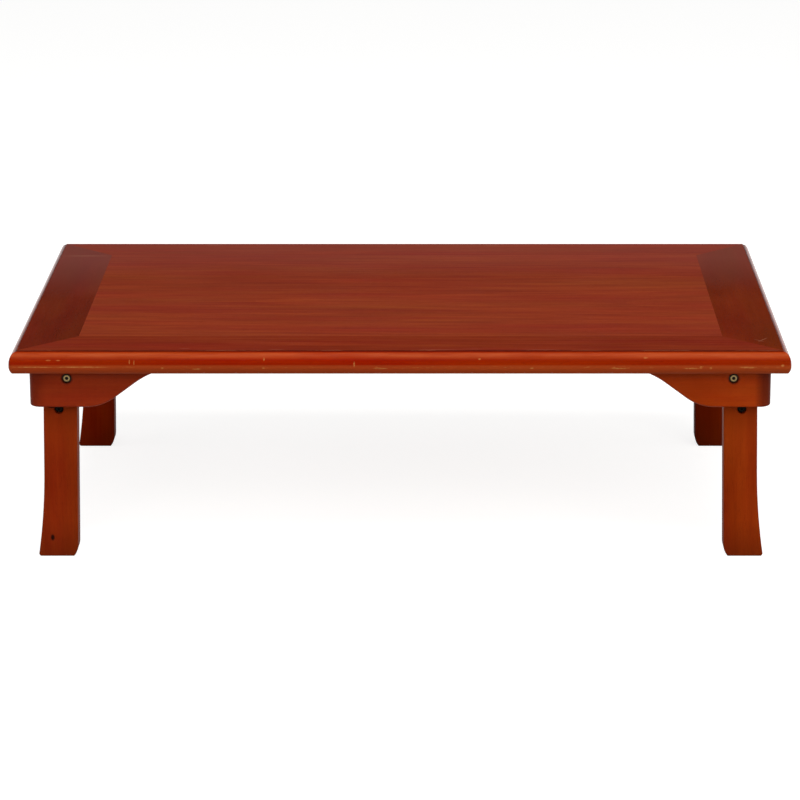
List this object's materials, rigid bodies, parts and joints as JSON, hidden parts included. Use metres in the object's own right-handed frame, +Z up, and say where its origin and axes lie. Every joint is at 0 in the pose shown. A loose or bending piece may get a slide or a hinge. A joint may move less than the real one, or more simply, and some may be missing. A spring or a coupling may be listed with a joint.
{
  "type": "folding low table",
  "caption": "Low rectangular folding table: mitred veneered top with rolled edge, shaped corner brackets and two leg frames that fold flat underneath.",
  "frame": {"origin": "on the floor, under the middle of the table", "axes": "X along the long side, -Y towards the front long side, Z up"},
  "size_m": [1.2, 0.75, 0.345],
  "materials": {
    "veneer_field": "clear semi-gloss lacquer over stained veneer, grain along the length",
    "veneer_border_long": "clear semi-gloss lacquer over stained veneer, grain along the length",
    "veneer_border_cross": "clear semi-gloss lacquer over stained veneer, grain across the length",
    "moulding_wood": "clear semi-gloss lacquer, worn along the lower edge",
    "frame_wood": "clear semi-gloss lacquer over stained solid wood",
    "leg_wood": "clear semi-gloss lacquer over stained solid wood",
    "core_board": "bare lumber core",
    "plywood": "thin stained plywood, flat lacquer",
    "plain_wood": "bare hardwood dowels and blocks",
    "brass_bolt": "dull brass-plated steel",
    "steel_screw": "zinc-plated steel",
    "dark_steel": "blackened steel",
    "washer": "yellow-passivated steel"
  },
  "bodies": {
    "table_top": {"core_board": "core_board", "backing_plywood": "plywood", "centre_veneer": "veneer_field", "border_veneer_front": "veneer_border_long", "border_veneer_back": "veneer_border_long", "border_veneer_left": "veneer_border_cross", "border_veneer_right": "veneer_border_cross", "edge_moulding_front": "moulding_wood", "edge_moulding_back": "moulding_wood", "edge_moulding_left": "moulding_wood", "edge_moulding_right": "moulding_wood", "corner_bracket_front_left": "frame_wood", "corner_bracket_front_right": "frame_wood", "corner_bracket_back_left": "frame_wood", "corner_bracket_back_right": "frame_wood", "end_apron_left": "frame_wood", "end_apron_right": "frame_wood", "glue_blocks": "plain_wood", "block_screws": "steel_screw", "bracket_screws": "steel_screw", "apron_dowels": "plain_wood"},
    "left_leg_frame": {"leg_front_left": "leg_wood", "leg_back_left": "leg_wood", "crossbar_left": "leg_wood", "crossbar_dowels_left": "plain_wood", "crossbar_bolts_left": "dark_steel", "crossbar_washers_left": "dark_steel", "barrel_nuts_left": "steel_screw", "pivot_bolts_left": "brass_bolt", "pivot_washers_left": "washer", "pivot_spacers_left": "washer", "thread_inserts_left": "brass_bolt"},
    "right_leg_frame": {"leg_front_right": "leg_wood", "leg_back_right": "leg_wood", "crossbar_right": "leg_wood", "crossbar_dowels_right": "plain_wood", "crossbar_bolts_right": "dark_steel", "crossbar_washers_right": "dark_steel", "barrel_nuts_right": "steel_screw", "pivot_bolts_right": "brass_bolt", "pivot_washers_right": "washer", "pivot_spacers_right": "washer", "thread_inserts_right": "brass_bolt"}
  },
  "joints": [
    {"name": "left_leg_fold", "type": "hinge", "parent": "table_top", "child": "left_leg_frame", "pos_m": [-0.514, 0, 0.296], "axis": [0, -1, 0], "range_deg": [0, 90]},
    {"name": "right_leg_fold", "type": "hinge", "parent": "table_top", "child": "right_leg_frame", "pos_m": [0.514, 0, 0.296], "axis": [0, 1, 0], "range_deg": [0, 90]}
  ]
}
